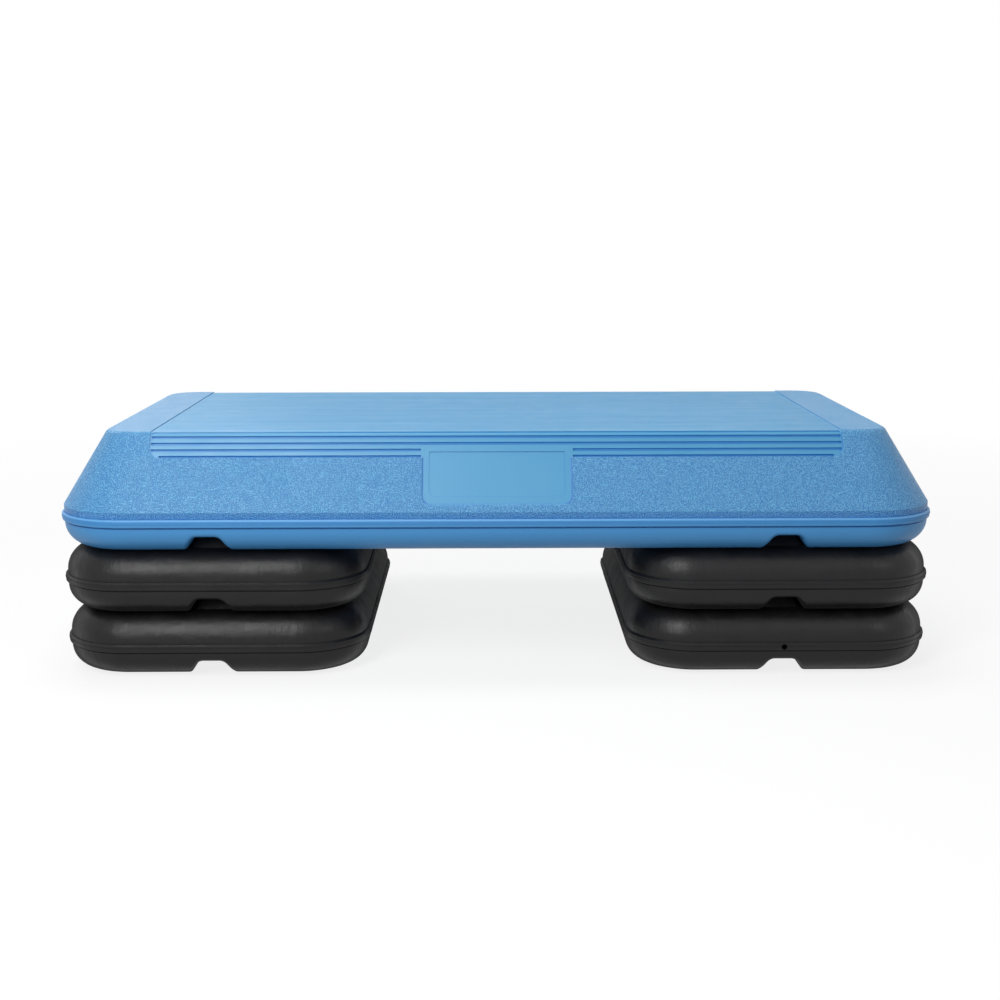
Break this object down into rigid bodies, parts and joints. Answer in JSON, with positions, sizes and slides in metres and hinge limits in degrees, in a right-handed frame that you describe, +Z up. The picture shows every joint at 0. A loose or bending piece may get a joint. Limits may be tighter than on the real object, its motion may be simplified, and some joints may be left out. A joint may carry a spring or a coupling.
{
  "type": "aerobic step platform",
  "caption": "Low exercise step: hollow deck with sloped grained sides and a ribbed tread wrapped over its long edges, on stacked pillow-shaped risers that lock by ridge and channel.",
  "frame": {"origin": "on the floor, under the middle of the deck", "axes": "+X along the deck, +Z up, front with the plaque towards -Y"},
  "size_m": [0.724, 0.368, 0.2],
  "materials": {
    "deck_plastic": "blue polyethylene, grained on the slopes and end margins, satin smooth on the ribs and lower half",
    "riser_plastic": "black polyethylene, satin smooth",
    "foot_rubber": "matt black rubber"
  },
  "bodies": {
    "lower_risers": {"left_lower_riser": "riser_plastic", "left_lower_riser_foot_outer_front": "foot_rubber", "left_lower_riser_foot_outer_rear": "foot_rubber", "left_lower_riser_foot_inner_front": "foot_rubber", "left_lower_riser_foot_inner_rear": "foot_rubber", "right_lower_riser": "riser_plastic", "right_lower_riser_foot_outer_front": "foot_rubber", "right_lower_riser_foot_outer_rear": "foot_rubber", "right_lower_riser_foot_inner_front": "foot_rubber", "right_lower_riser_foot_inner_rear": "foot_rubber"},
    "left_upper_riser": {"left_upper_riser": "riser_plastic", "left_upper_riser_foot_outer_front": "foot_rubber", "left_upper_riser_foot_outer_rear": "foot_rubber", "left_upper_riser_foot_inner_front": "foot_rubber", "left_upper_riser_foot_inner_rear": "foot_rubber"},
    "right_upper_riser": {"right_upper_riser": "riser_plastic", "right_upper_riser_foot_outer_front": "foot_rubber", "right_upper_riser_foot_outer_rear": "foot_rubber", "right_upper_riser_foot_inner_front": "foot_rubber", "right_upper_riser_foot_inner_rear": "foot_rubber"},
    "deck": {"deck_shell": "deck_plastic", "deck_foot_left_front": "foot_rubber", "deck_foot_left_rear": "foot_rubber", "deck_foot_right_front": "foot_rubber", "deck_foot_right_rear": "foot_rubber"}
  },
  "joints": [
    {"name": "left_upper_riser_lift", "type": "slide", "parent": "lower_risers", "child": "left_upper_riser", "axis": [0, 0, 1], "range_m": [0, 0.07]},
    {"name": "right_upper_riser_lift", "type": "slide", "parent": "lower_risers", "child": "right_upper_riser", "axis": [0, 0, 1], "range_m": [0, 0.07]},
    {"name": "deck_lift", "type": "slide", "parent": "left_upper_riser", "child": "deck", "axis": [0, 0, 1], "range_m": [0, 0.07]}
  ],
  "couplings": [
    {"joint": "right_upper_riser_lift", "follows": "left_upper_riser_lift", "ratio": 1}
  ]
}
